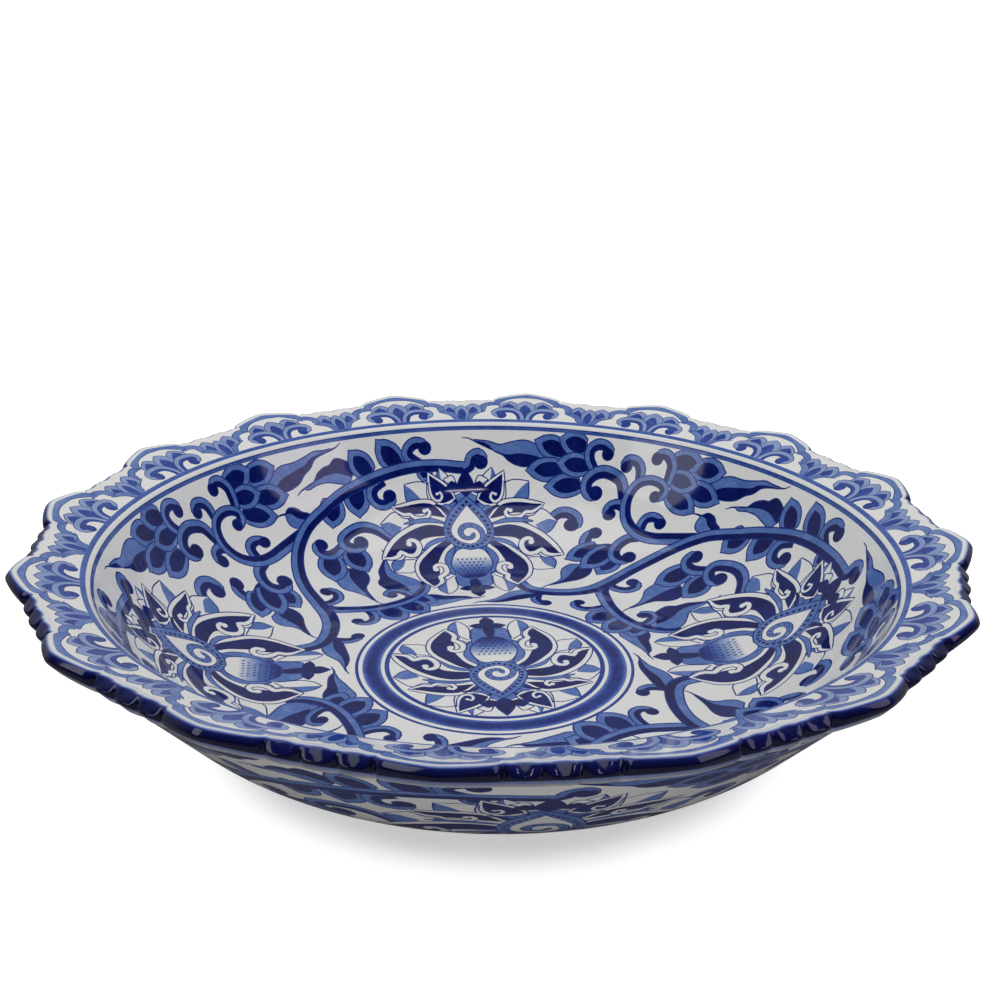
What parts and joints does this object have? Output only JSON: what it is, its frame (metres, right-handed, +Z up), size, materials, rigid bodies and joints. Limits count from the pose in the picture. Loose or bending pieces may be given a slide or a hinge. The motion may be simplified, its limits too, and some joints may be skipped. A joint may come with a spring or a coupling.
{
  "type": "porcelain serving bowl",
  "caption": "Wide round porcelain serving bowl with a broad scalloped flange, thumb-pressed cobalt edge, deep open well and a foot ring.",
  "frame": {"origin": "on the bowl's axis, in the plane its foot stands on", "axes": "+Z up along the bowl's axis; +X through the middle of one group of three thumb presses"},
  "size_m": [0.399, 0.399, 0.0887],
  "materials": {
    "painted_porcelain": "clear gloss glaze over hand-painted underglaze cobalt blue",
    "cobalt_glaze": "thick gloss cobalt glaze, almost black where it pools",
    "foot_porcelain": "glazed sides with a wiped, unglazed standing edge"
  },
  "bodies": {
    "root": {"bowl_body": "painted_porcelain", "rim_flange": "painted_porcelain", "rim_edge": "cobalt_glaze", "foot_ring": "foot_porcelain"}
  },
  "joints": []
}
